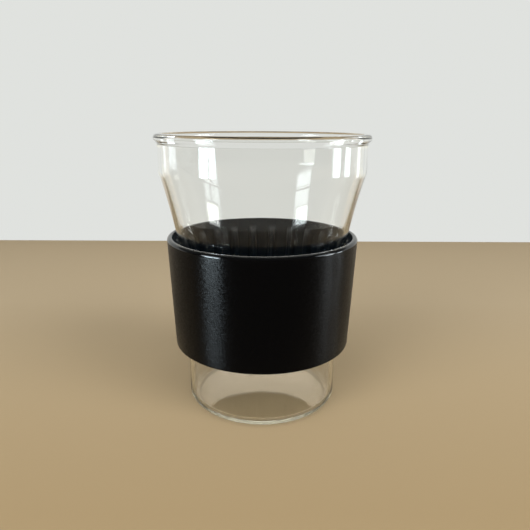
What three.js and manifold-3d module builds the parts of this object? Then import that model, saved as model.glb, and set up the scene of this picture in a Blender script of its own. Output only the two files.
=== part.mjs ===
// Drinking glass with a slip-on grip sleeve, in millimetres. It stands on the plane z = 0, with its axis on +Z.
// The glass is one blown piece: a straight foot, a long flare, a soft shoulder, a straight band and a rolled lip.
// The sleeve is one moulded ring with upright ribs inside, which hold its wall off the hot glass and carry the
// flare, so the glass lifts out upwards and can't drop through.

import * as THREE from 'three';
import { mergeVertices } from 'three/addons/utils/BufferGeometryUtils.js';
import Module from 'manifold-3d';

// Glass
const GLASS_HEIGHT = 115;
const FOOT_RADIUS = 32.45;
const FLARE_START = 35; // height where the wall leaves the straight foot
const BAND_RADIUS = 42.4;
const BAND_HEIGHT = 14.8; // from the shoulder to the top of the lip
const SHOULDER_SOFTNESS = 0.9; // height over which the flare turns into the band
const GLASS_WALL = 1.6;
const FLOOR_THICKNESS = 2;
const HEEL_RADIUS = 4;
const INNER_HEEL_RADIUS = 3;
const STANDING_RING_WIDTH = 5;
const UNDERSIDE_HOLLOW = 0.6;
const LIP_OVERHANG = 1.35;
const LIP_ROUND = 1.6; // height of the lip's rounded top
const LIP_SWEEP = 2.5; // height over which the lip sweeps back to the band

// Sleeve
const SLEEVE_BASE = 26.6; // height of the sleeve's lower edge on the glass
const SLEEVE_HEIGHT = 46.85;
const SLEEVE_WALL = 2.1;
const AIR_GAP_TOP = 2.2;
const AIR_GAP_BASE = 3.25;
const SLEEVE_UPPER_EDGE = 1.3;
const SLEEVE_LOWER_EDGE = 0.6;
const SLEEVE_INNER_EDGE = 0.3;

// Ribs inside the sleeve
const RIB_COUNT = 24;
const RIB_WIDTH = 4.6; // at the root
const RIB_CREST = 2; // width of the free edge
const RIB_SETBACK_TOP = 3.4;
const RIB_SETBACK_BASE = 2;
const RIB_LEAD_IN = 2;
const FIT_CLEARANCE = 0.3; // between the ribs and the glass

// Smoothness of the faceted surfaces
const SEGMENTS_AROUND = 72;
const GLASS_CURVE_STEPS = 4;
const SLEEVE_CURVE_STEPS = 2;
const RIB_STEPS = 8;

const wasm = await Module();
wasm.setup();

const shoulderHeight = GLASS_HEIGHT - BAND_HEIGHT;
const flareRise = shoulderHeight - FLARE_START;
const flareReach = BAND_RADIUS - FOOT_RADIUS;
// The flare is one arc that leaves the foot upright and reaches the band at the shoulder.
const flareArcRadius = (flareRise ** 2 + flareReach ** 2) / (2 * flareReach);

// Outer radius of the glass at a height above its heel, with the shoulder taken as a plain corner.
function glassRadius(height) {
  if (height <= FLARE_START) {
    return FOOT_RADIUS;
  }
  if (height >= shoulderHeight) {
    return BAND_RADIUS;
  }
  return FOOT_RADIUS + flareArcRadius - Math.sqrt(flareArcRadius ** 2 - (height - FLARE_START) ** 2);
}

// Where the flare gives way to the softened shoulder, and the corner that the softening bends towards.
function shoulder() {
  const height = shoulderHeight - SHOULDER_SOFTNESS;
  const angle = Math.asin((height - FLARE_START) / flareArcRadius);
  const radius = glassRadius(height);
  const corner = height + (BAND_RADIUS - radius) / Math.tan(angle);
  return { angle, height, radius, corner, end: 2 * corner - height };
}

// Half section of the glass: from the middle of the underside, up the outside, over the lip, down the inside.
function glassOutline() {
  const ringOuter = FOOT_RADIUS - HEEL_RADIUS;
  const hollowRadius = ringOuter - STANDING_RING_WIDTH;
  const lipRadius = BAND_RADIUS + LIP_OVERHANG;
  const lipWidest = GLASS_HEIGHT - LIP_ROUND;
  const lipFoot = lipWidest - LIP_SWEEP;
  const innerBand = BAND_RADIUS - GLASS_WALL;
  const innerFoot = FOOT_RADIUS - GLASS_WALL;
  const lipMiddle = (lipRadius + innerBand) / 2;
  const lipHalfWidth = (lipRadius - innerBand) / 2;
  const flareCentre = FOOT_RADIUS + flareArcRadius;
  const turn = shoulder();
  const path = new THREE.Path();
  path.moveTo(0, UNDERSIDE_HOLLOW);
  path.quadraticCurveTo(hollowRadius / 2, UNDERSIDE_HOLLOW, hollowRadius, 0);
  path.lineTo(ringOuter, 0);
  path.absarc(ringOuter, HEEL_RADIUS, HEEL_RADIUS, -Math.PI / 2, 0, false);
  path.lineTo(FOOT_RADIUS, FLARE_START);
  path.absarc(flareCentre, FLARE_START, flareArcRadius, Math.PI, Math.PI - turn.angle, true);
  path.quadraticCurveTo(BAND_RADIUS, turn.corner, BAND_RADIUS, turn.end);
  path.lineTo(BAND_RADIUS, lipFoot);
  path.bezierCurveTo(
    BAND_RADIUS,
    lipFoot + LIP_SWEEP / 2,
    lipRadius,
    lipWidest - LIP_SWEEP / 2,
    lipRadius,
    lipWidest,
  );
  path.absellipse(lipMiddle, lipWidest, lipHalfWidth, LIP_ROUND, 0, Math.PI, false, 0);
  path.lineTo(innerBand, turn.end);
  path.quadraticCurveTo(innerBand, turn.corner, turn.radius - GLASS_WALL, turn.height);
  path.absarc(flareCentre - GLASS_WALL, FLARE_START, flareArcRadius, Math.PI - turn.angle, Math.PI, false);
  path.lineTo(innerFoot, FLOOR_THICKNESS + INNER_HEEL_RADIUS);
  path.absarc(
    innerFoot - INNER_HEEL_RADIUS,
    FLOOR_THICKNESS + INNER_HEEL_RADIUS,
    INNER_HEEL_RADIUS,
    0,
    -Math.PI / 2,
    true,
  );
  path.lineTo(0, FLOOR_THICKNESS);
  return path.getPoints(GLASS_CURVE_STEPS);
}

const sleeveTop = SLEEVE_BASE + SLEEVE_HEIGHT;
const sleeveRadiusBase = glassRadius(SLEEVE_BASE) + AIR_GAP_BASE + SLEEVE_WALL;
const sleeveRadiusTop = glassRadius(sleeveTop) + AIR_GAP_TOP + SLEEVE_WALL;
const sleeveTaper = Math.atan2(sleeveRadiusTop - sleeveRadiusBase, SLEEVE_HEIGHT);

// Outer radius of the sleeve's straight taper at a height.
function sleeveRadius(height) {
  return sleeveRadiusBase + (height - SLEEVE_BASE) * Math.tan(sleeveTaper);
}

// Section of the sleeve's wall: round the upper edge, down the inside and back up the outside.
function sleeveOutline() {
  const path = new THREE.Path();
  const outside = (height, edge) => sleeveRadius(height) - edge / Math.cos(sleeveTaper);
  const inside = (height, edge) => sleeveRadius(height) - SLEEVE_WALL + edge / Math.cos(sleeveTaper);
  const upper = sleeveTop - SLEEVE_UPPER_EDGE;
  const lower = SLEEVE_BASE + SLEEVE_LOWER_EDGE;
  const innerUpper = sleeveTop - SLEEVE_INNER_EDGE;
  const innerLower = SLEEVE_BASE + SLEEVE_INNER_EDGE;
  const outward = -sleeveTaper;
  const inward = Math.PI - sleeveTaper;
  const up = Math.PI / 2;
  const down = 1.5 * Math.PI;
  path.absarc(outside(lower, SLEEVE_LOWER_EDGE), lower, SLEEVE_LOWER_EDGE, -up, outward, false);
  path.absarc(outside(upper, SLEEVE_UPPER_EDGE), upper, SLEEVE_UPPER_EDGE, outward, up, false);
  path.absarc(inside(innerUpper, SLEEVE_INNER_EDGE), innerUpper, SLEEVE_INNER_EDGE, up, inward, false);
  path.absarc(inside(innerLower, SLEEVE_INNER_EDGE), innerLower, SLEEVE_INNER_EDGE, inward, down, false);
  path.closePath();
  return path.getPoints(SLEEVE_CURVE_STEPS);
}

// Side view of one rib, as stations up the wall. Its free edge follows the glass at the fitting clearance, and runs
// out into the wall at both ends. Its root runs down the middle of the wall.
function ribStations() {
  const base = SLEEVE_BASE + RIB_SETBACK_BASE;
  const top = sleeveTop - RIB_SETBACK_TOP;
  const edgeBase = base + RIB_LEAD_IN;
  const edgeTop = top - RIB_LEAD_IN;
  const station = (height, edge) => ({ height, edge, root: sleeveRadius(height) - SLEEVE_WALL / 2 });
  const buried = (height) => sleeveRadius(height) - 0.75 * SLEEVE_WALL;
  const stations = [station(base, buried(base))];
  for (let step = 0; step <= RIB_STEPS; step += 1) {
    const height = edgeBase + ((edgeTop - edgeBase) * step) / RIB_STEPS;
    stations.push(station(height, glassRadius(height) + FIT_CLEARANCE));
  }
  stations.push(station(top, buried(top)));
  return stations;
}

// A round solid from a half section, turned so that the section's height runs along +Z.
function revolve(outline) {
  const geometry = new THREE.LatheGeometry(outline, SEGMENTS_AROUND);
  geometry.rotateX(Math.PI / 2);
  return geometry;
}

// A rib as a bar with sloping sides, broad at its root and narrow at its free edge: the same four corners at each
// station, joined into a closed skin, at the given angle about the axis.
function ribGeometry(angle) {
  const stations = ribStations();
  const positions = stations.flatMap(({ height, edge, root }) => [
    [root, -RIB_WIDTH / 2, height],
    [root, RIB_WIDTH / 2, height],
    [edge, RIB_CREST / 2, height],
    [edge, -RIB_CREST / 2, height],
  ]);
  const faces = [
    [0, 3, 2],
    [0, 2, 1],
  ];
  for (let row = 0; row < stations.length - 1; row += 1) {
    for (let side = 0; side < 4; side += 1) {
      const here = 4 * row + side;
      const beside = 4 * row + ((side + 1) % 4);
      faces.push([here, beside, beside + 4], [here, beside + 4, here + 4]);
    }
  }
  const last = 4 * (stations.length - 1);
  faces.push([last, last + 1, last + 2], [last, last + 2, last + 3]);
  const geometry = new THREE.BufferGeometry();
  geometry.setAttribute('position', new THREE.Float32BufferAttribute(positions.flat(), 3));
  geometry.setIndex(faces.flat());
  geometry.rotateZ(angle);
  return geometry;
}

// The closed mesh of a geometry as a solid that can be joined to others.
function toSolid(geometry) {
  const bare = geometry.clone();
  bare.deleteAttribute('normal');
  bare.deleteAttribute('uv');
  const merged = mergeVertices(bare);
  const vertProperties = new Float32Array(merged.attributes.position.array);
  const triVerts = new Uint32Array(merged.index.array);
  const mesh = new wasm.Mesh({ numProp: 3, vertProperties, triVerts });
  mesh.merge();
  return new wasm.Manifold(mesh);
}

// The surface of a solid as a geometry with flat facets.
function toGeometry(solid) {
  const mesh = solid.getMesh();
  const geometry = new THREE.BufferGeometry();
  geometry.setAttribute('position', new THREE.BufferAttribute(mesh.vertProperties, mesh.numProp));
  geometry.setIndex(new THREE.BufferAttribute(mesh.triVerts, 1));
  geometry.computeVertexNormals();
  return geometry;
}

// The tapered ring with its ribs, spaced evenly with none on the X or Y axis.
function sleeveGeometry() {
  const pitch = (2 * Math.PI) / RIB_COUNT;
  let solid = toSolid(revolve(sleeveOutline()));
  for (let index = 0; index < RIB_COUNT; index += 1) {
    solid = solid.add(toSolid(ribGeometry((index + 0.5) * pitch)));
  }
  return toGeometry(solid);
}

const clearGlass = new THREE.MeshStandardMaterial({
  color: 0xf2f1ea,
  roughness: 0.03,
  metalness: 0,
  transparent: true,
  opacity: 0.3,
});
const blackPlastic = new THREE.MeshStandardMaterial({ color: 0x0d0d0e, roughness: 0.45, metalness: 0 });

const glass = new THREE.Mesh(revolve(glassOutline()), clearGlass);
glass.name = 'glass_tumbler';
const sleeve = new THREE.Mesh(sleeveGeometry(), blackPlastic);
sleeve.name = 'grip_sleeve';

const drinkingGlass = new THREE.Group();
drinkingGlass.add(glass, sleeve);

export default drinkingGlass;
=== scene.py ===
"""Looks of a drinking glass with a slip-on grip sleeve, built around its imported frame.

The glass and the sleeve are surfaces turned about the upright axis, worked out as arrays: a half section
of the piece, carried round a circle. Lengths are in metres, with +Z up and the origin where the glass stands.
"""

import math
from typing import NamedTuple

import bpy
import numpy as np
from bpy.props import (
    FloatProperty,
    FloatVectorProperty,
    IntProperty,
    PointerProperty,
)
from mathutils import Matrix, Vector


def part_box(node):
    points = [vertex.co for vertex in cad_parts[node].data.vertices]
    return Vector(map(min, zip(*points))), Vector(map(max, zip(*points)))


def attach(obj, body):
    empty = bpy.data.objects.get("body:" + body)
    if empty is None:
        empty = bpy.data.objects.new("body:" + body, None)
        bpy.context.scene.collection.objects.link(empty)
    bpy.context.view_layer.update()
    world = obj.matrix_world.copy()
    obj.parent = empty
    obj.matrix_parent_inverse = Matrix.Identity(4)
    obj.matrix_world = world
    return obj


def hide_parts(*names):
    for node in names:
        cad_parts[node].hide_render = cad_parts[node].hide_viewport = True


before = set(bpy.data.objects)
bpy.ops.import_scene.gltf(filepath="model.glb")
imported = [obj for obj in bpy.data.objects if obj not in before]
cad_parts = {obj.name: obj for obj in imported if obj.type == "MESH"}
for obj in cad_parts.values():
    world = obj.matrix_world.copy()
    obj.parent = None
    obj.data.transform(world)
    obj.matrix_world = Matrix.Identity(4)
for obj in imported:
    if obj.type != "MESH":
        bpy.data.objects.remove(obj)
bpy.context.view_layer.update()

bl_info = {
    "name": "Drinking glass with grip sleeve",
    "version": (1, 0, 0),
    "blender": (4, 5, 0),
    "location": "View3D > Sidebar > Drinking Glass",
    "description": "Turns a clear glass and its ribbed black sleeve, and sets them on a plain stage",
    "category": "Add Mesh",
}

MM = 0.001

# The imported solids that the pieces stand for
GLASS_NODE = "glass_tumbler"
SLEEVE_NODE = "grip_sleeve"
GLASS_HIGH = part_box(GLASS_NODE)[1]
SLEEVE_LOW, SLEEVE_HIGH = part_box(SLEEVE_NODE)

# How finely the pieces are divided
GLASS_STEPS_AROUND = 288
RIB_STEPS = 19
GAP_STEPS = 5
RIB_MARGIN = 1.4  # how far the fine steps reach, in half widths of a rib

# Slow waves of the blown inner face: share, waves round the axis, phase at the base, phase gained up the wall
FACE_WAVES = ((1.0, 2, 0.7, 2), (0.6, 5, 2.1, -5), (0.35, 9, 4.0, 9))

# Places of the sleeve's finishes in its list of materials
GRAINED, POLISHED, SATIN = range(3)
RIB_FLANK = 0.6  # share of a rib's half width that its rounded side takes

# The range that most of a noise's values lie in
CLOUD_SPAN = (0.3, 0.7)

# The stage
FLOOR_GAP = 0.2 * MM
STAGE_HALF_WIDTH = 3.0
BACKDROP_TOP = 0.32
LAMP_AIM = Vector((0.0, 0.0, 0.05))
SENSOR_WIDTH = 36.0
CLIP_START = 0.01
CLIP_END = 50.0
LIGHT_BOUNCES = 32
GLOSSY_BOUNCES = 16
CARD_FADE = 0.16  # share of a card's width or height over which its edge fades
BAR_EDGES = (0.4, 0.6)  # where a bar's edge starts and ends, in widths of the bar from its middle
# Painted sheen: the floor turns paler and bluer towards the backdrop, standing in for the backdrop's sheen on
# it
FLOOR_SHEEN_SPAN = (-0.08, 0.12)  # range of Y over which the floor turns paler
BLACK = (0.0, 0.0, 0.0)

# Mirror images of the floor: where they are shaded, by Y or by distance from the origin, and how much
FRONT_SPAN = (0.04, -0.09)
FRONT_SHADE = 0.92
INNER_FACE_RELIEF = -0.4
FOOT_SPAN = (-0.05, -0.09)
FOOT_REACH = 0.1455
FOOT_EDGE = 0.0005
FOOT_EDGE_SOFTENING = 0.08
OPEN_REACH = (0.07, 0.10)
OPEN_SHADE = 0.45
FAR_WALL_SHADE = 0.5

# Mirror images of the backdrop, painted brighter (a painted glow) or in the floor's tone (a painted
# reflection):
# tones, and where they hold, by distance from its middle or by height
DEEP_GLOW_TONE = (2.9, 2.45, 1.9)
DEEP_SPAN = (0.11, 0.14)
LED_GLOW_TONE = (1.6, 1.5, 1.05)
LED_SPAN = (0.10, 0.13)
FLOOR_REFLECTION_TONE = (0.55, 0.48, 0.38)
LOW_SPAN = (0.05, 0.015)

# The world: strengths, and the ranges over which they change, by the Y of the direction looked in
EVEN_LIGHT = 0.2
CAMERA_LIGHT = 0.8
GLINT_SPAN = (0.3, -0.1)
GLINT_LOSS = -0.15
THROUGH_SPAN = (-0.3, 0.3)
THROUGH_LIGHT = (-0.08, 0.35)
INSIDE_LIGHT = 0.2
LED_LIGHT = 0.6
LED_WORLD_TONE = (0.92, 0.88, 0.62)


class CardPlan(NamedTuple):
    """An upright glowing sheet, in metres, at an azimuth in degrees.

    Faces, where given, is how many faces of glass an image of the card passes. Bar is a dark upright stripe:
    its place across the sheet and its width, as shares of the sheet's width.
    """

    name: str
    azimuth: float
    distance: float
    width: float
    base: float
    height: float
    radiance: float
    tone: tuple = (0.90, 1.0, 1.06)
    faces: int | None = None
    bar: tuple | None = None


class SoftboxPlan(NamedTuple):
    """A rectangular lamp, in metres, at an azimuth in degrees. Middle is the height of its centre."""

    name: str
    azimuth: float
    distance: float
    middle: float
    width: float
    height: float
    radiance: float


# Where the cards and the softboxes stand, and how brightly they glow
CARDS = (
    CardPlan("left_card", azimuth=-60, distance=0.6, width=0.265, base=0.12, height=0.28, radiance=5.5),
    CardPlan(
        "left_low_card", azimuth=-57, distance=0.6, width=0.225, base=0.0, height=0.13, radiance=33.0,
        tone=(0.82, 1.0, 1.1), faces=0, bar=(0.42, 0.07),
    ),
    CardPlan(
        "left_inner_card", azimuth=-64, distance=0.5, width=0.17, base=0.03, height=0.065, radiance=6.5,
        tone=(0.94, 1.0, 0.96), faces=4,
    ),
    CardPlan("left_strip", azimuth=-62, distance=0.58, width=0.22, base=0.132, height=0.085, radiance=14.0),
    CardPlan(
        "left_back_card", azimuth=-107, distance=0.4, width=0.115, base=0.06, height=0.11, radiance=3.8,
        faces=2,
    ),
    CardPlan(
        "left_far_card", azimuth=-124.5, distance=0.4, width=0.05, base=0.055, height=0.11, radiance=2.2,
        faces=2,
    ),
    CardPlan(
        "right_card", azimuth=78, distance=0.6, width=0.30, base=0.12, height=0.34, radiance=4.0,
        bar=(0.45, 0.08),
    ),
    CardPlan(
        "right_low_card", azimuth=88, distance=0.6, width=0.33, base=0.0, height=0.13, radiance=11.0,
        faces=0, bar=(0.46, 0.22),
    ),
    CardPlan(
        "right_strip", azimuth=80, distance=0.58, width=0.24, base=0.112, height=0.10, radiance=9.0,
        tone=(0.95, 1.0, 1.02),
    ),
    CardPlan(
        "right_back_card", azimuth=120.5, distance=0.4, width=0.06, base=0.02, height=0.13, radiance=3.2,
        faces=2,
    ),
)
SOFTBOXES = (
    SoftboxPlan("left_softbox", azimuth=-48, distance=1.1, middle=0.4, width=1.2, height=0.6, radiance=6.0),
    SoftboxPlan("right_softbox", azimuth=58, distance=1.1, middle=0.4, width=1.2, height=0.6, radiance=6.4),
    SoftboxPlan("top_softbox", azimuth=0, distance=0.6, middle=1.1, width=0.8, height=0.8, radiance=2.8),
)


def length(name, description, default):
    """A length property in metres, shown in the scene's own unit."""
    return FloatProperty(
        name=name, description=description, default=default, unit="LENGTH", precision=5, min=0.0
    )


def colour(name, description, default):
    """A linear colour property."""
    return FloatVectorProperty(
        name=name, description=description, default=default, subtype="COLOR", size=3, min=0.0, max=1.0
    )


def angle(name, description, degrees):
    """An angle property, given in degrees."""
    return FloatProperty(name=name, description=description, default=math.radians(degrees), subtype="ANGLE")


class GlassSettings(bpy.types.PropertyGroup):
    """Sizes and finish of the blown glass."""

    height: length("Height", "From the floor to the top of the lip", GLASS_HIGH.z)
    lip_radius: length("Lip radius", "Radius of the widest circle of the lip", GLASS_HIGH.x)
    foot_radius: length("Foot radius", "Outer radius of the straight foot", 32.45 * MM)
    flare_start: length("Flare start", "Height where the wall leaves the foot", 35.0 * MM)
    band_radius: length("Band radius", "Outer radius of the straight band under the lip", 42.4 * MM)
    band_height: length("Band height", "From the shoulder to the top of the lip", 14.8 * MM)
    shoulder: length("Shoulder", "Height over which the flare turns into the band", 0.9 * MM)
    wall: length("Wall", "Thickness of the wall, measured level", 1.6 * MM)
    floor: length("Floor", "Thickness of the floor over the standing ring", 2 * MM)
    heel: length("Heel", "Radius of the rounding round the foot", 4 * MM)
    inner_heel: length("Inner heel", "Radius of the rounding round the floor inside", 3 * MM)
    ring_width: length("Ring width", "Width of the flat ring that the glass stands on", 5.0 * MM)
    hollow: length("Hollow", "Depth of the hollow underneath", 0.6 * MM)
    lip_round: length("Lip round", "Height of the rounded top of the lip", 1.6 * MM)
    lip_sweep: length("Lip sweep", "Height over which the lip sweeps back to the band", 2.5 * MM)
    unevenness: length("Unevenness", "How far the blown inner face strays from true", 0.015 * MM)
    tint: colour("Tint", "Colour that the glass lets through", (0.985, 0.983, 0.966))
    shadow: colour("Shadow", "Colour of the light that each face lets into the shadow", (0.98, 0.985, 0.98))
    ior: FloatProperty(name="Refraction", description="Index of refraction of borosilicate", default=1.473)


class SleeveSettings(bpy.types.PropertyGroup):
    """Sizes and finish of the moulded sleeve."""

    base: length("Base", "Height of the lower edge", SLEEVE_LOW.z)
    top: length("Top", "Height of the upper edge", SLEEVE_HIGH.z)
    wall: length("Wall", "Thickness of the wall", 2.1 * MM)
    gap_top: length("Gap at the top", "Air between the wall and the glass at the upper edge", 2.2 * MM)
    gap_base: length("Gap at the base", "Air between the wall and the glass at the lower edge", 3.25 * MM)
    upper_edge: length("Upper edge", "Radius of the rounding of the upper outer edge", 1.3 * MM)
    lower_edge: length("Lower edge", "Radius of the rounding of the lower outer edge", 0.6 * MM)
    inner_edge: length("Inner edge", "Radius of the rounding of the inner edges", 0.3 * MM)
    rib_count: IntProperty(name="Ribs", description="Number of upright ribs inside", default=24, min=3)
    rib_width: length("Rib width", "Width of a rib where it meets the wall", 4.6 * MM)
    rib_setback_top: length("Rib setback, top", "From the upper edge to the ribs", 3.4 * MM)
    rib_setback_base: length("Rib setback, base", "From the lower edge to the ribs", 2.0 * MM)
    rib_lead_in: length("Rib lead-in", "Height over which a rib rises from the wall", 2.0 * MM)
    clearance: length("Clearance", "Between the ribs and the glass", 0.3 * MM)
    # Painted light on the ribs: the rib faces are painted lighter near the top, as if side light fell on
    # them, fading out down the wall
    rib_light_depth: length("Rib_light depth", "From the upper edge to where the scuffs end", 9.5 * MM)
    rib_light_fade: length("Rib_light fade", "Height over which the scuffs fade out", 7.5 * MM)
    painted_rib_light: colour("Painted_rib_light", "Colour of the sidelit scuffs on the ribs", (0.10, 0.10, 0.10))
    plastic: colour("Plastic", "Colour of the moulded plastic", (0.0015, 0.0015, 0.0017))
    # Painted reflection: the inside is tinted bluish, as if it mirrored a cool light from above
    inside: colour("Inside", "Colour of the plastic inside, tinted by painted_reflection", (0.003, 0.005, 0.0075))
    grain: length("Grain", "Size of a facet of the moulded grain", 0.58 * MM)
    grain_tilt: FloatProperty(
        name="Grain tilt", description="How far a facet leans, as a share of its normal", default=0.07
    )


class StageSettings(bpy.types.PropertyGroup):
    """The floor, backdrop and camera."""

    floor: colour("Floor", "Colour of the floor on the camera's side", (0.405, 0.297, 0.162))
    # Painted sheen: the far floor colour is paler and bluer, standing in for the backdrop's sheen on the
    # floor
    floor_far_sheen: colour("Far floor", "Colour of the floor by the backdrop", (0.55, 0.435, 0.28))
    backdrop: colour("Backdrop", "Colour of the backdrop", (0.745, 0.76, 0.735))
    backdrop_distance: length("Backdrop distance", "From the glass to the backdrop", 0.305)
    camera_distance: length("Camera distance", "Level distance from the axis to the camera", 0.2175)
    camera_height: length("Camera height", "Height of the camera over the floor", 0.1205)
    camera_pitch: angle("Camera pitch", "How far the camera looks down", 15.63)
    camera_yaw: angle("Camera yaw", "How far the camera looks to the right", 0.32)
    camera_roll: angle("Camera roll", "How far the picture is turned", 0.30)
    camera_lens: FloatProperty(
        name="Lens", description="Focal length on a 36 mm sensor", default=35.354, unit="CAMERA"
    )


def line(start, end, steps):
    """Points on a straight stretch: start plus an even share of the way to end, end left out."""
    share = np.linspace(0.0, 1.0, steps, endpoint=False)[:, None]
    return np.asarray(start) + share * (np.asarray(end) - np.asarray(start))


def arc(centre, radii, start, end, steps):
    """Points on an arc of an ellipse, end left out: centre plus radii times cosine and sine of a sweep."""
    sweep = np.linspace(start, end, steps, endpoint=False)
    return np.stack([centre[0] + radii[0] * np.cos(sweep), centre[1] + radii[1] * np.sin(sweep)], axis=1)


def soft_curve(controls, steps):
    """Points on a smooth curve from the first control to the last, which is left out.

    A control's weight is its binomial number, times the share gone raised to the count of controls before it,
    times the share left raised to the count after it.
    """
    share = np.linspace(0.0, 1.0, steps, endpoint=False)[:, None]
    degree = len(controls) - 1
    weights = [math.comb(degree, k) * share**k * (1 - share) ** (degree - k) for k in range(degree + 1)]
    return sum(weight * np.asarray(control) for weight, control in zip(weights, controls))


def flare_radius(settings):
    """Radius of the one arc that leaves the foot upright and meets the band at the shoulder.

    It is the sum of the squares of the arc's rise and reach, over twice the reach.
    """
    rise = settings.height - settings.band_height - settings.flare_start
    reach = settings.band_radius - settings.foot_radius
    return (rise**2 + reach**2) / (2 * reach)


def glass_radius(settings, height):
    """Outer radius of the glass at each height: that of the foot, then the flare's arc, then the band's."""
    sweep = flare_radius(settings)
    full_rise = settings.height - settings.band_height - settings.flare_start
    rise = np.clip(height - settings.flare_start, 0.0, full_rise)
    return settings.foot_radius + sweep - np.sqrt(sweep**2 - rise**2)


def glass_section(settings):
    """Half section of the glass, as rows of radius and height.

    It starts in the middle of the underside, runs over the standing ring and round the heel, up the foot,
    along the flare's arc, through the soft shoulder to the band, out to the lip, over it, and down the inside
    at the wall's thickness to the middle of the floor. The second result marks the rows of the inner face.
    """
    s = settings
    ring = s.foot_radius - s.heel
    hollow = ring - s.ring_width
    widest = s.height - s.lip_round
    lip_foot = widest - s.lip_sweep
    inner_band = s.band_radius - s.wall
    inner_foot = s.foot_radius - s.wall
    sweep = flare_radius(s)
    turn = s.height - s.band_height - s.shoulder
    turn_radius = float(glass_radius(s, turn))
    turn_angle = math.asin((turn - s.flare_start) / sweep)
    corner = turn + (s.band_radius - turn_radius) / math.tan(turn_angle)
    band_start = 2 * corner - turn
    centre = s.foot_radius + sweep
    lip_middle = (s.lip_radius + inner_band) / 2
    lip_half = (s.lip_radius - inner_band) / 2
    lip_curve = [
        (s.band_radius, lip_foot),
        (s.band_radius, lip_foot + s.lip_sweep / 2),
        (s.lip_radius, widest - s.lip_sweep / 2),
        (s.lip_radius, widest),
    ]
    inner_floor = s.floor + s.inner_heel
    inner_ring = inner_foot - s.inner_heel
    outside = [
        soft_curve([(0, s.hollow), (hollow / 2, s.hollow), (hollow, 0)], steps=12),
        line((hollow, 0), (ring, 0), steps=3),
        arc((ring, s.heel), (s.heel, s.heel), -math.pi / 2, 0, steps=20),
        line((s.foot_radius, s.heel), (s.foot_radius, s.flare_start), steps=10),
        arc((centre, s.flare_start), (sweep, sweep), math.pi, math.pi - turn_angle, steps=40),
        soft_curve([(turn_radius, turn), (s.band_radius, corner), (s.band_radius, band_start)], steps=14),
        line((s.band_radius, band_start), (s.band_radius, lip_foot), steps=8),
        soft_curve(lip_curve, steps=20),
        arc((lip_middle, widest), (lip_half, s.lip_round), 0, math.pi, steps=28),
    ]
    inside = [
        line((inner_band, widest), (inner_band, band_start), steps=10),
        soft_curve([(inner_band, band_start), (inner_band, corner), (turn_radius - s.wall, turn)], steps=14),
        arc((centre - s.wall, s.flare_start), (sweep, sweep), math.pi - turn_angle, math.pi, steps=40),
        line((inner_foot, s.flare_start), (inner_foot, inner_floor), steps=10),
        arc((inner_ring, inner_floor), (s.inner_heel, s.inner_heel), 0, -math.pi / 2, steps=20),
        line((inner_ring, s.floor), (0, s.floor), steps=10),
        np.array([(0, s.floor)]),
    ]
    outer_rows = np.concatenate(outside)
    inner_rows = np.concatenate(inside)
    inner = np.concatenate([np.zeros(len(outer_rows), bool), np.ones(len(inner_rows), bool)])
    return np.concatenate([outer_rows, inner_rows]), inner


def ring_faces(rows, columns, closed):
    """Four-sided faces of a grid that closes round its columns and, if asked, round its rows."""
    row = np.arange(rows if closed else rows - 1)[:, None]
    column = np.arange(columns)[None, :]
    next_row = (row + 1) % rows
    next_column = (column + 1) % columns
    corners = [
        row * columns + column,
        row * columns + next_column,
        next_row * columns + next_column,
        next_row * columns + column,
    ]
    return np.stack(corners, axis=-1).reshape(-1, 4)


def new_piece(name, points, faces, materials, finish=None):
    """A smooth-shaded object at the origin, from points, faces and each face's place in the materials."""
    mesh = bpy.data.meshes.new(name)
    mesh.from_pydata(points.tolist(), [], faces)
    mesh.polygons.foreach_set("use_smooth", np.ones(len(mesh.polygons), bool))
    for material in materials:
        mesh.materials.append(material)
    if finish is not None:
        mesh.polygons.foreach_set("material_index", finish.astype(np.int32))
    mesh.validate()
    mesh.update()
    piece = bpy.data.objects.new(name, mesh)
    bpy.context.scene.collection.objects.link(piece)
    return piece


def turned_points(radius, height, angles):
    """Points of a turned surface: radius times cosine and sine of the angle, at the height."""
    radius, height, angles = np.broadcast_arrays(radius, height, angles)
    points = np.stack([radius * np.cos(angles), radius * np.sin(angles), height], axis=-1)
    return points.reshape(-1, 3)


def glass_surface(settings):
    """Points and faces of the glass: its half section carried round the axis, with one point at each pole.

    The inner face strays from true by a sum of slow waves round the axis and up the wall, as a blown face
    does. The waves die out towards the lip.
    """
    section, inner = glass_section(settings)
    body = section[1:-1]
    angles = np.linspace(0.0, 2 * math.pi, GLASS_STEPS_AROUND, endpoint=False)[None, :]
    radius = body[:, :1]
    height = body[:, 1:]
    climb = height / settings.height
    waves = sum(
        share * np.sin(around * angles + phase + gain * climb) for share, around, phase, gain in FACE_WAVES
    )
    wall_only = (inner[1:-1, None] & (height > settings.floor + settings.inner_heel)) * 1.0
    below_lip = np.clip((settings.height - height) / settings.band_height, 0.0, 1.0)
    radius = radius + settings.unevenness * waves * wall_only * below_lip
    points = turned_points(radius, height, angles)
    faces = ring_faces(len(body), GLASS_STEPS_AROUND, closed=False).tolist()
    base_pole = len(points)
    floor_pole = base_pole + 1
    columns = np.arange(GLASS_STEPS_AROUND)
    following = (columns + 1) % GLASS_STEPS_AROUND
    last = (len(body) - 1) * GLASS_STEPS_AROUND
    faces += np.stack([np.full_like(columns, base_pole), following, columns], axis=1).tolist()
    faces += np.stack([np.full_like(columns, floor_pole), last + columns, last + following], axis=1).tolist()
    poles = np.array([(0.0, 0.0, section[0, 1]), (0.0, 0.0, section[-1, 1])])
    return np.concatenate([points, poles]), faces


def sleeve_taper(glass, sleeve):
    """Outer radius of the sleeve at its base and its gain per unit of height."""
    base = float(glass_radius(glass, sleeve.base)) + sleeve.gap_base + sleeve.wall
    top = float(glass_radius(glass, sleeve.top)) + sleeve.gap_top + sleeve.wall
    return base, (top - base) / (sleeve.top - sleeve.base)


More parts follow.
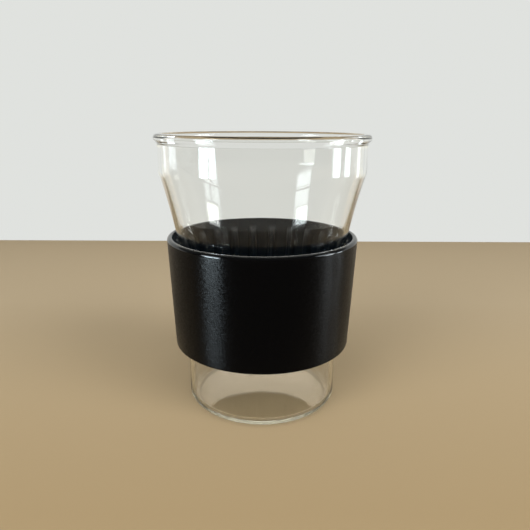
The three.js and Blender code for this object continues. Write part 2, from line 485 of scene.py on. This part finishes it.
def sleeve_section(glass, sleeve):
    """Closed section of the sleeve's wall, as rows of radius and height.

    It runs up the outside, round the upper edge, across the flat top, down the inside and back underneath,
    with each edge an arc that touches the tapered face and the level one. The other results mark the rows of
    the inner face, and give each row's finish.
    """
    base, slope = sleeve_taper(glass, sleeve)
    tilt = math.atan(slope)

    def corner(height, edge, face):
        """Middle of an edge's arc: set in from the outer or inner face by the edge's radius."""
        outer = base + slope * (height - sleeve.base)
        if face == "outer":
            return outer - edge / math.cos(tilt), height
        return outer - sleeve.wall + edge / math.cos(tilt), height

    lower = corner(sleeve.base + sleeve.lower_edge, sleeve.lower_edge, "outer")
    upper = corner(sleeve.top - sleeve.upper_edge, sleeve.upper_edge, "outer")
    inner_upper = corner(sleeve.top - sleeve.inner_edge, sleeve.inner_edge, "inner")
    inner_lower = corner(sleeve.base + sleeve.inner_edge, sleeve.inner_edge, "inner")
    up = math.pi / 2
    lower_arc = arc(lower, (sleeve.lower_edge,) * 2, -up, -tilt, steps=10)
    upper_arc = arc(upper, (sleeve.upper_edge,) * 2, -tilt, up, steps=20)
    inner_upper_arc = arc(inner_upper, (sleeve.inner_edge,) * 2, up, math.pi - tilt, steps=8)
    inner_lower_arc = arc(inner_lower, (sleeve.inner_edge,) * 2, math.pi - tilt, 3 * up, steps=8)
    outer_start = (
        lower[0] + sleeve.lower_edge * math.cos(tilt),
        lower[1] - sleeve.lower_edge * math.sin(tilt),
    )
    inner_start = (
        inner_upper[0] - sleeve.inner_edge * math.cos(tilt),
        inner_upper[1] + sleeve.inner_edge * math.sin(tilt),
    )
    outer_face = line(outer_start, upper_arc[0], steps=12)
    top_face = line((upper[0], sleeve.top), (inner_upper[0], sleeve.top), steps=2)
    inner_face = line(inner_start, inner_lower_arc[0], steps=60)
    underneath = line((inner_lower[0], sleeve.base), (lower[0], sleeve.base), steps=3)
    outside = [lower_arc, outer_face, upper_arc, top_face, inner_upper_arc]
    rows = np.concatenate([*outside, inner_face, inner_lower_arc, underneath])
    first = sum(len(part) for part in outside)
    inner = np.zeros(len(rows), bool)
    inner[first : first + len(inner_face)] = True
    finish = np.where(inner, SATIN, POLISHED)
    finish[len(lower_arc) : len(lower_arc) + len(outer_face) + 1] = GRAINED
    return rows, inner, finish


def rib_angles(sleeve):
    """Angles round the sleeve, crowded over the ribs and sparse between them."""
    pitch = 2 * math.pi / sleeve.rib_count
    half = 0.5 * sleeve.rib_width / GLASS_HIGH.x
    over = half * np.linspace(-RIB_MARGIN, RIB_MARGIN, RIB_STEPS)
    between = np.linspace(over[-1], pitch + over[0], GAP_STEPS)[1:-1]
    starts = (np.arange(sleeve.rib_count) + 0.5) * pitch
    return (starts[:, None] + np.concatenate([over, between])[None, :]).ravel()


def smooth_step(value):
    """Rises from 0 to 1 as value does, level at both ends: three times its square less twice its cube."""
    value = np.clip(value, 0.0, 1.0)
    return value * value * (3.0 - 2.0 * value)


def sleeve_surface(glass, sleeve):
    """Points, faces and finishes of the sleeve: its section carried round the axis, with ribs inside.

    A rib takes the inner face in to the glass's own radius plus the clearance. Across, it is a flat bar with
    rounded sides. Up the wall, it rises over its lead-in at both ends. The last result is each point's share
    of
    painted light on the ribs: the ribs' own rise, faded out down the wall. It paints the rib faces lighter,
    as if side light fell on them.
    """
    rows, inner, finish = sleeve_section(glass, sleeve)
    angles = rib_angles(sleeve)[None, :]
    radius = rows[:, :1]
    height = rows[:, 1:]
    pitch = 2 * math.pi / sleeve.rib_count
    off_middle = np.abs(angles % pitch - 0.5 * pitch)
    reach = np.clip(off_middle * radius / (0.5 * sleeve.rib_width), 0.0, 1.0)
    across = smooth_step((1.0 - reach) / RIB_FLANK)
    foot = sleeve.base + sleeve.rib_setback_base
    head = sleeve.top - sleeve.rib_setback_top
    lead_in = sleeve.rib_lead_in
    along = smooth_step((height - foot) / lead_in) * smooth_step((head - height) / lead_in)
    depth = np.maximum(radius - glass_radius(glass, height) - sleeve.clearance, 0.0)
    rise = across * along * inner[:, None]
    radius = radius - depth * rise
    points = turned_points(radius, height, angles)
    faces = ring_faces(len(rows), angles.size, closed=True)
    # Painted light on the ribs: lighter near the top, fading out down the wall
    rib_lit_share = smooth_step((height - sleeve.top + sleeve.rib_light_depth) / sleeve.rib_light_fade)
    return points, faces.tolist(), np.repeat(finish, angles.size), (rise * rib_lit_share).ravel()


class NodeBench:
    """Adds shader nodes to a material or a world and joins them, so that a finish reads as a short list."""

    def __init__(self, owner):
        owner.use_nodes = True
        self.owner = owner
        self.nodes = owner.node_tree.nodes
        self.links = owner.node_tree.links
        self.shader = self.nodes.get("Principled BSDF")
        self.output = self.nodes.get("Material Output")

    def add(self, kind, settings=None, inputs=None):
        """A new node with its own settings, and inputs that are values or the sockets of other nodes."""
        node = self.nodes.new(kind)
        for key, value in (settings or {}).items():
            setattr(node, key, value)
        self.feed(node, inputs or {})
        return node

    def feed(self, node, inputs):
        """Sets a node's inputs by name or number, linking those that are sockets."""
        for key, value in inputs.items():
            socket = next((s for s in node.inputs if s.enabled and s.name == key), None) or node.inputs[key]
            if isinstance(value, bpy.types.NodeSocket):
                self.links.new(value, socket)
            else:
                socket.default_value = value

    def show(self, node):
        """Makes a node's first output the surface of the material."""
        self.links.new(node.outputs[0], self.output.inputs["Surface"])

    def place(self, system="Object"):
        """The place of a point, by one of the systems that textures use."""
        return self.add("ShaderNodeTexCoord").outputs[system]

    def axes(self, place):
        """The three coordinates of a place."""
        return self.add("ShaderNodeSeparateXYZ", None, {0: place}).outputs

    def vector(self, operation, *values):
        """The outputs of one sum of vectors."""
        return self.add("ShaderNodeVectorMath", {"operation": operation}, dict(enumerate(values))).outputs

    def math(self, operation, *values):
        """One sum of values or sockets."""
        return self.add("ShaderNodeMath", {"operation": operation}, dict(enumerate(values))).outputs[0]

    def product(self, *values):
        """Values or sockets multiplied together."""
        total = values[0]
        for value in values[1:]:
            total = self.math("MULTIPLY", total, value)
        return total

    def greatest(self, *values):
        """The greatest of values or sockets."""
        most = values[0]
        for value in values[1:]:
            most = self.math("MAXIMUM", most, value)
        return most

    def more(self, count, number):
        """1 where a count is more than a whole number, else 0."""
        return self.math("GREATER_THAN", count, number + 0.5)

    def fewer(self, count, number):
        """1 where a count is less than a whole number, else 0."""
        return self.math("LESS_THAN", count, number - 0.5)

    def about(self, count, number, within=0.0):
        """1 where a count is a number, or that far from it at most, else 0."""
        return self.math("COMPARE", count, number, within + 0.5)

    def spread(self, value, low, high, to_low=0.0, to_high=1.0, interpolation="LINEAR"):
        """A value carried from one range to another."""
        inputs = {"Value": value, "From Min": low, "From Max": high, "To Min": to_low, "To Max": to_high}
        node = self.add("ShaderNodeMapRange", {"interpolation_type": interpolation}, inputs)
        return node.outputs["Result"]

    def noise(self, place, size, detail=2.0, roughness=0.5):
        """A noise whose blots are about one size across, in metres."""
        inputs = {"Vector": place, "Scale": 1.0 / size, "Detail": detail, "Roughness": roughness}
        return self.add("ShaderNodeTexNoise", None, inputs).outputs["Fac"]

    def clouds(self, place, size, low, high, detail=4.0, roughness=0.6, span=CLOUD_SPAN):
        """A value that drifts between two bounds, in blots of about one size."""
        return self.spread(self.noise(place, size, detail, roughness), *span, low, high)

    def mix(self, share, first, second):
        """A colour between two, by the second's share. Each is a socket or three linear values."""
        colours = [
            tone if isinstance(tone, bpy.types.NodeSocket) else (*tone, 1.0) for tone in (first, second)
        ]
        inputs = {"Factor": share, "A": colours[0], "B": colours[1]}
        return self.add("ShaderNodeMix", {"data_type": "RGBA"}, inputs).outputs["Result"]


def clear_glass(settings):
    """Clear blown glass, with slow waves in its face and the faintest film. Lamps shine through it."""
    bench = NodeBench(bpy.data.materials.new("clear_glass"))
    place = bench.place()
    film = bench.clouds(place, size=14 * MM, low=0.0, high=0.035, span=(0.45, 0.75))
    wave = bench.noise(place, size=9 * MM, detail=1.0)
    bump = bench.add("ShaderNodeBump", None, {"Strength": 0.03, "Distance": 1.0 * MM, "Height": wave})
    bench.feed(
        bench.shader,
        {
            "Base Color": (*settings.tint, 1.0),
            "Roughness": film,
            "IOR": settings.ior,
            "Transmission Weight": 1.0,
            "Normal": bump.outputs["Normal"],
        },
    )
    see_through = bench.add("ShaderNodeBsdfTransparent", None, {"Color": (*settings.shadow, 1.0)})
    in_shadow = bench.add("ShaderNodeLightPath").outputs["Is Shadow Ray"]
    shaders = {0: in_shadow, 1: bench.shader.outputs[0], 2: see_through.outputs[0]}
    bench.show(bench.add("ShaderNodeMixShader", None, shaders))
    return bench.owner


def grained_plastic(settings):
    """Black moulded plastic with a fine satin grain, drawn upright so that it spreads a shine up and down.

    The grain is a field of small facets, each leaning its own way.
    """
    bench = NodeBench(bpy.data.materials.new("black_plastic_grained"))
    place = bench.place()
    cells = bench.add("ShaderNodeTexVoronoi", None, {"Vector": place, "Scale": 1.0 / settings.grain})
    lean = settings.grain_tilt
    tilt = bench.vector("MULTIPLY_ADD", cells.outputs["Color"], (lean,) * 3, (-lean / 2,) * 3)["Vector"]
    level = bench.add("ShaderNodeNewGeometry").outputs["Normal"]
    facet = bench.vector("NORMALIZE", bench.vector("ADD", level, tilt)["Vector"])["Vector"]
    tangent = bench.add("ShaderNodeTangent", {"direction_type": "RADIAL", "axis": "Z"}).outputs["Tangent"]
    bench.feed(
        bench.shader,
        {
            "Base Color": (*settings.plastic, 1.0),
            "Roughness": bench.clouds(place, size=12 * MM, low=0.28, high=0.32, detail=3.0, roughness=0.55),
            "Specular IOR Level": 0.2,
            "Anisotropic": 0.9,
            "Anisotropic Rotation": 0.25,
            "Tangent": tangent,
            "Normal": facet,
        },
    )
    return bench.owner


def smooth_plastic(settings):
    """The same plastic where the mould is polished: the rim and the lower edge."""
    bench = NodeBench(bpy.data.materials.new("black_plastic_smooth"))
    roughness = bench.clouds(bench.place(), size=5 * MM, low=0.06, high=0.12)
    bench.feed(bench.shader, {"Base Color": (*settings.plastic, 1.0), "Roughness": roughness})
    return bench.owner


def satin_plastic(settings):
    """The plastic inside, where the mould was only sanded, with painted light on the rib faces as if lit from
    the side.
    """
    bench = NodeBench(bpy.data.materials.new("black_plastic_satin"))
    place = bench.place()
    # Painted light: the rib faces are painted lighter grey, as if lit from the side
    rise = bench.add("ShaderNodeAttribute", {"attribute_name": "painted_rib_light"}).outputs["Fac"]
    patches = bench.clouds(
        place, size=5 * MM, low=0.25, high=1.0, detail=5.0, roughness=0.65, span=(0.35, 0.65)
    )
    bench.feed(
        bench.shader,
        {
            # The inside's bluish tint is a painted reflection of a cool light from above
            "Base Color": bench.mix(bench.product(rise, patches), settings.inside, settings.painted_rib_light),
            "Roughness": bench.clouds(place, size=4 * MM, low=0.42, high=0.5),
            "Specular IOR Level": 0.3,
        },
    )
    return bench.owner


def floor_finish(near, far):
    """A plain matt floor, painted paler towards the backdrop as a painted sheen of the backdrop on it.

    In an image of one or two mirrorings it is darker, most of all on the camera's side, as if shaded there.
    How dark depends on how many faces of glass the image came through: 2 by way of the near wall's inner
    face, 3 to 5 by way of the far wall, and 6 or more by way of the floor of the glass, where the shade has a
    clear edge.
    """
    bench = NodeBench(bpy.data.materials.new("floor_finish"))
    place = bench.place()
    ahead = bench.axes(place)["Y"]
    reach = bench.vector("LENGTH", place)["Value"]
    rays = bench.add("ShaderNodeLightPath").outputs
    faces, mirrors = rays["Transmission Depth"], rays["Glossy Depth"]
    shallow = bench.fewer(faces, 6)
    shaded = bench.math("MULTIPLY_ADD", bench.about(faces, 2), INNER_FACE_RELIEF, FRONT_SHADE)
    front = bench.product(shaded, bench.spread(ahead, *FRONT_SPAN))
    soft = bench.math("MULTIPLY_ADD", shallow, FOOT_EDGE_SOFTENING, FOOT_EDGE)
    edges = [bench.math(side, FOOT_REACH, soft) for side in ("SUBTRACT", "ADD")]
    foot = bench.product(bench.spread(reach, *edges, 1.0, 0.0), bench.spread(ahead, *FOOT_SPAN))
    open_way = bench.product(shallow, bench.spread(reach, *OPEN_REACH, 0.0, OPEN_SHADE))
    far_wall = bench.product(bench.about(faces, 4, within=1), FAR_WALL_SHADE)
    mirrored = bench.product(bench.more(mirrors, 0), bench.fewer(mirrors, 3))
    shade = bench.product(mirrored, bench.greatest(front, foot, open_way, far_wall))
    # Painted sheen of the backdrop: the tone turns paler towards it
    tone = bench.mix(bench.spread(ahead, *FLOOR_SHEEN_SPAN), near, far)
    bench.feed(
        bench.shader,
        {"Base Color": bench.mix(shade, tone, BLACK), "Roughness": 0.6, "Specular IOR Level": 0.06},
    )
    return bench.owner


def glowing_finish(name, tone):
    """A backdrop that shows one even tone and lights nothing: it glows only for what looks at it.

    Mirrored in the floor of the glass, or led through the glass by many mirrorings, it is painted brighter
    and warmer, a painted glow for light that the glass gathers there. In the side of the glass, its foot is
    painted in the floor's tone, a painted reflection of the floor.
    """
    bench = NodeBench(bpy.data.materials.new(name))
    rays = bench.add("ShaderNodeLightPath").outputs
    faces, mirrors = rays["Transmission Depth"], rays["Glossy Depth"]
    aside, _, rise = bench.axes(bench.place())
    straight = bench.spread(bench.math("ABSOLUTE", aside), *DEEP_SPAN, 1.0, 0.0)
    deep = bench.product(bench.about(mirrors, 1), bench.more(faces, 5), straight)
    led = bench.product(bench.more(mirrors, 2), bench.spread(rise, *LED_SPAN))
    low = bench.product(bench.more(mirrors, 0), bench.fewer(faces, 3), bench.spread(rise, *LOW_SPAN))
    # Painted glow where the glass mirrors or leads the backdrop, and a painted reflection of the floor at its
    # foot
    shade = bench.mix(deep, tone, DEEP_GLOW_TONE)
    shade = bench.mix(led, shade, LED_GLOW_TONE)
    shade = bench.mix(low, shade, FLOOR_REFLECTION_TONE)
    seen = bench.math("SUBTRACT", 1.0, rays["Is Diffuse Ray"])
    bench.show(bench.add("ShaderNodeEmission", None, {"Color": shade, "Strength": seen}))
    return bench.owner


def sheet_piece(name, corners, material):
    """A flat four-cornered sheet of the stage."""
    piece = new_piece(name, np.array(corners, float), [[0, 1, 2, 3]], [material])
    piece.data.uv_layers.new().data.foreach_set("uv", [0.0, 0.0, 1.0, 0.0, 1.0, 1.0, 0.0, 1.0])
    return piece


def spot(azimuth, distance, height):
    """A place on the stage. Azimuth is counted in degrees from the camera's side, positive to the right."""
    turn = math.radians(azimuth)
    return np.array([math.sin(turn) * distance, -math.cos(turn) * distance, height])


def softbox(plan):
    """A rectangular lamp that faces the glass, and is seen neither in reflections nor through the glass.

    The power is pi times the area times the radiance, which is how an even flat lamp shines.
    """
    lamp = bpy.data.lights.new(plan.name, "AREA")
    lamp.shape = "RECTANGLE"
    lamp.size = plan.width
    lamp.size_y = plan.height
    lamp.energy = math.pi * plan.width * plan.height * plan.radiance
    holder = bpy.data.objects.new(plan.name, lamp)
    bpy.context.scene.collection.objects.link(holder)
    holder.location = spot(plan.azimuth, plan.distance, plan.middle)
    holder.rotation_mode = "QUATERNION"
    holder.rotation_quaternion = (LAMP_AIM - holder.location).to_track_quat("-Z", "Z")
    holder.visible_glossy = False
    holder.visible_transmission = False


def card_finish(plan):
    """The glow of a card: even, fading at the edges, and dark at its bar.

    A card with a number of faces shows only in mirror images whose way leads through that many faces of
    glass. With 0, it shows only in outer faces, and it is sampled as a lamp, which keeps a rough shine clean.
    """
    bench = NodeBench(bpy.data.materials.new(plan.name))
    across = bench.axes(bench.place("UV"))
    strength = plan.radiance
    for axis in (0, 1):
        edge = bench.math("PINGPONG", across[axis], 0.5)
        strength = bench.product(strength, bench.spread(edge, 0.0, CARD_FADE, interpolation="SMOOTHSTEP"))
    if plan.bar:
        middle, width = plan.bar
        off_bar = bench.math("ABSOLUTE", bench.math("SUBTRACT", across[0], middle))
        strength = bench.product(strength, bench.spread(off_bar, *(width * edge for edge in BAR_EDGES)))
    glow = bench.add("ShaderNodeEmission", None, {"Color": (*plan.tone, 1.0), "Strength": strength})
    if plan.faces is not None:
        rays = bench.add("ShaderNodeLightPath").outputs
        share = bench.about(rays["Transmission Depth"], plan.faces)
        if plan.faces:
            share = bench.product(share, bench.more(rays["Glossy Depth"], 0))
        clear = bench.add("ShaderNodeBsdfTransparent")
        glow = bench.add("ShaderNodeMixShader", None, {0: share, 1: clear.outputs[0], 2: glow.outputs[0]})
    bench.show(glow)
    bench.owner.cycles.emission_sampling = "FRONT_BACK" if plan.faces == 0 else "NONE"
    return bench.owner


def card(plan):
    """A glowing upright sheet that faces the axis, seen in reflections or through glass, never directly."""
    turn = math.radians(plan.azimuth)
    middle = spot(plan.azimuth, plan.distance, plan.base)
    aside = np.array([math.cos(turn), math.sin(turn), 0.0]) * plan.width / 2
    rise = np.array([0.0, 0.0, plan.height])
    corners = [middle + aside, middle - aside, middle - aside + rise, middle + aside + rise]
    piece = sheet_piece(plan.name, corners, card_finish(plan))
    piece.visible_camera = False
    piece.visible_diffuse = False
    piece.visible_shadow = False


def surround(tone):
    """The world: it looks like the backdrop, shows dimly through glass, and else gives a faint even light.

    Mirrored outside the glass, it is dimmer on the camera's side. Mirrored inside, it is brighter, and warm
    where the glass leads it by many mirrorings.
    """
    bench = NodeBench(bpy.data.worlds.new("surround"))
    rays = bench.add("ShaderNodeLightPath").outputs
    faces, mirrors = rays["Transmission Depth"], rays["Glossy Depth"]
    ahead = bench.axes(bench.place("Generated"))["Y"]
    glint = bench.product(bench.fewer(faces, 1), bench.more(mirrors, 0))
    even = bench.math("MULTIPLY_ADD", glint, bench.spread(ahead, *GLINT_SPAN, 0.0, GLINT_LOSS), EVEN_LIGHT)
    plain = bench.math("MULTIPLY_ADD", rays["Is Camera Ray"], CAMERA_LIGHT, even)
    through = bench.product(rays["Is Transmission Ray"], bench.spread(ahead, *THROUGH_SPAN, *THROUGH_LIGHT))
    led = bench.more(mirrors, 2)
    inside = bench.product(bench.about(mirrors, 1), bench.more(faces, 1))
    added = bench.math("MULTIPLY_ADD", inside, INSIDE_LIGHT, bench.product(led, LED_LIGHT))
    strength = bench.math("ADD", bench.math("ADD", plain, through), added)
    shade = bench.mix(led, tone, LED_WORLD_TONE)
    bench.feed(bench.nodes["Background"], {"Color": shade, "Strength": strength})
    return bench.owner


def photo_camera(stage):
    """The camera: on the -Y side, looking along +Y, then pitched down, yawed and rolled as set."""
    data = bpy.data.cameras.new("photo_camera")
    data.sensor_width = SENSOR_WIDTH
    data.lens = stage.camera_lens
    data.clip_start = CLIP_START
    data.clip_end = CLIP_END
    camera = bpy.data.objects.new("photo_camera", data)
    bpy.context.scene.collection.objects.link(camera)
    pitch, yaw, roll = stage.camera_pitch, stage.camera_yaw, stage.camera_roll
    forward = Vector((math.sin(yaw) * math.cos(pitch), math.cos(yaw) * math.cos(pitch), -math.sin(pitch)))
    level = Vector((math.cos(yaw), -math.sin(yaw), 0.0))
    down = forward.cross(level)
    right = math.cos(roll) * level - math.sin(roll) * down
    up = -(math.sin(roll) * level + math.cos(roll) * down)
    turn = Matrix((right, up, -forward)).transposed()
    stand = Matrix.Translation((0.0, -stage.camera_distance, stage.camera_height))
    camera.matrix_world = stand @ turn.to_4x4()
    bpy.context.scene.camera = camera


class DRINKINGGLASS_OT_blow_glass(bpy.types.Operator):
    """Turn the clear glass and put it in place of its solid"""

    bl_idname = "drinking_glass.blow_glass"
    bl_label = "Blow the Glass"

    def execute(self, context):
        settings = context.scene.drinking_glass_glass
        points, faces = glass_surface(settings)
        glass = new_piece("blown_glass", points, faces, [clear_glass(settings)])
        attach(glass, "glass")
        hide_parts(GLASS_NODE)
        return {"FINISHED"}


class DRINKINGGLASS_OT_mould_sleeve(bpy.types.Operator):
    """Turn the black sleeve with its ribs and put it in place of its solid"""

    bl_idname = "drinking_glass.mould_sleeve"
    bl_label = "Mould the Sleeve"

    def execute(self, context):
        glass = context.scene.drinking_glass_glass
        settings = context.scene.drinking_glass_sleeve
        points, faces, finish, painted_rib_light = sleeve_surface(glass, settings)
        finishes = [grained_plastic(settings), smooth_plastic(settings), satin_plastic(settings)]
        sleeve = new_piece("moulded_sleeve", points, faces, finishes, finish)
        # Each point's share of painted light on the ribs, kept on the mesh for the satin finish
        sleeve.data.attributes.new("painted_rib_light", "FLOAT", "POINT").data.foreach_set("value", painted_rib_light)
        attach(sleeve, "sleeve")
        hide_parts(SLEEVE_NODE)
        return {"FINISHED"}


class DRINKINGGLASS_OT_set_stage(bpy.types.Operator):
    """Lay the floor, hang the backdrop, and place the lamps and the camera"""

    bl_idname = "drinking_glass.set_stage"
    bl_label = "Set the Stage"

    def execute(self, context):
        scene = context.scene
        stage = scene.drinking_glass_stage
        side, low, high = STAGE_HALF_WIDTH, -FLOOR_GAP, BACKDROP_TOP
        back = stage.backdrop_distance
        floor = [(-side, -side, low), (side, -side, low), (side, back, low), (-side, back, low)]
        backdrop = [(-side, back, low), (side, back, low), (side, back, high), (-side, back, high)]
        sheet_piece("floor", floor, floor_finish(stage.floor, stage.floor_far_sheen))
        sheet_piece("backdrop", backdrop, glowing_finish("backdrop_finish", stage.backdrop))
        for plan in CARDS:
            card(plan)
        for plan in SOFTBOXES:
            softbox(plan)
        scene.world = surround(stage.backdrop)
        photo_camera(stage)
        scene.cycles.max_bounces = LIGHT_BOUNCES
        scene.cycles.transmission_bounces = LIGHT_BOUNCES
        scene.cycles.glossy_bounces = GLOSSY_BOUNCES
        scene.cycles.caustics_reflective = False
        scene.cycles.caustics_refractive = False
        scene.view_settings.view_transform = "Standard"
        return {"FINISHED"}


class VIEW3D_PT_drinking_glass(bpy.types.Panel):
    """Sizes, finishes and steps of the drinking glass"""

    bl_label = "Drinking Glass"
    bl_space_type = "VIEW_3D"
    bl_region_type = "UI"
    bl_category = "Drinking Glass"

    def draw(self, context):
        for operator, group in STEPS:
            box = self.layout.box()
            box.operator(operator.bl_idname)
            settings = getattr(context.scene, group)
            for name in settings.bl_rna.properties.keys():
                if name not in ("name", "rna_type"):
                    box.prop(settings, name)


STEPS = (
    (DRINKINGGLASS_OT_blow_glass, "drinking_glass_glass"),
    (DRINKINGGLASS_OT_mould_sleeve, "drinking_glass_sleeve"),
    (DRINKINGGLASS_OT_set_stage, "drinking_glass_stage"),
)
GROUPS = (
    ("drinking_glass_glass", GlassSettings),
    ("drinking_glass_sleeve", SleeveSettings),
    ("drinking_glass_stage", StageSettings),
)


def register():
    """Gives the scene its groups of settings, and Blender the operators and the panel."""
    for name, group in GROUPS:
        bpy.utils.register_class(group)
        setattr(bpy.types.Scene, name, PointerProperty(type=group))
    for operator, _ in STEPS:
        bpy.utils.register_class(operator)
    bpy.utils.register_class(VIEW3D_PT_drinking_glass)


def unregister():
    """Takes away what register gave, in the opposite order."""
    bpy.utils.unregister_class(VIEW3D_PT_drinking_glass)
    for operator, _ in reversed(STEPS):
        bpy.utils.unregister_class(operator)
    for name, group in reversed(GROUPS):
        delattr(bpy.types.Scene, name)
        bpy.utils.unregister_class(group)


def main():
    """Builds the pieces and the stage."""
    register()
    bpy.ops.drinking_glass.blow_glass()
    bpy.ops.drinking_glass.mould_sleeve()
    bpy.ops.drinking_glass.set_stage()


if __name__ == "__main__":
    main()
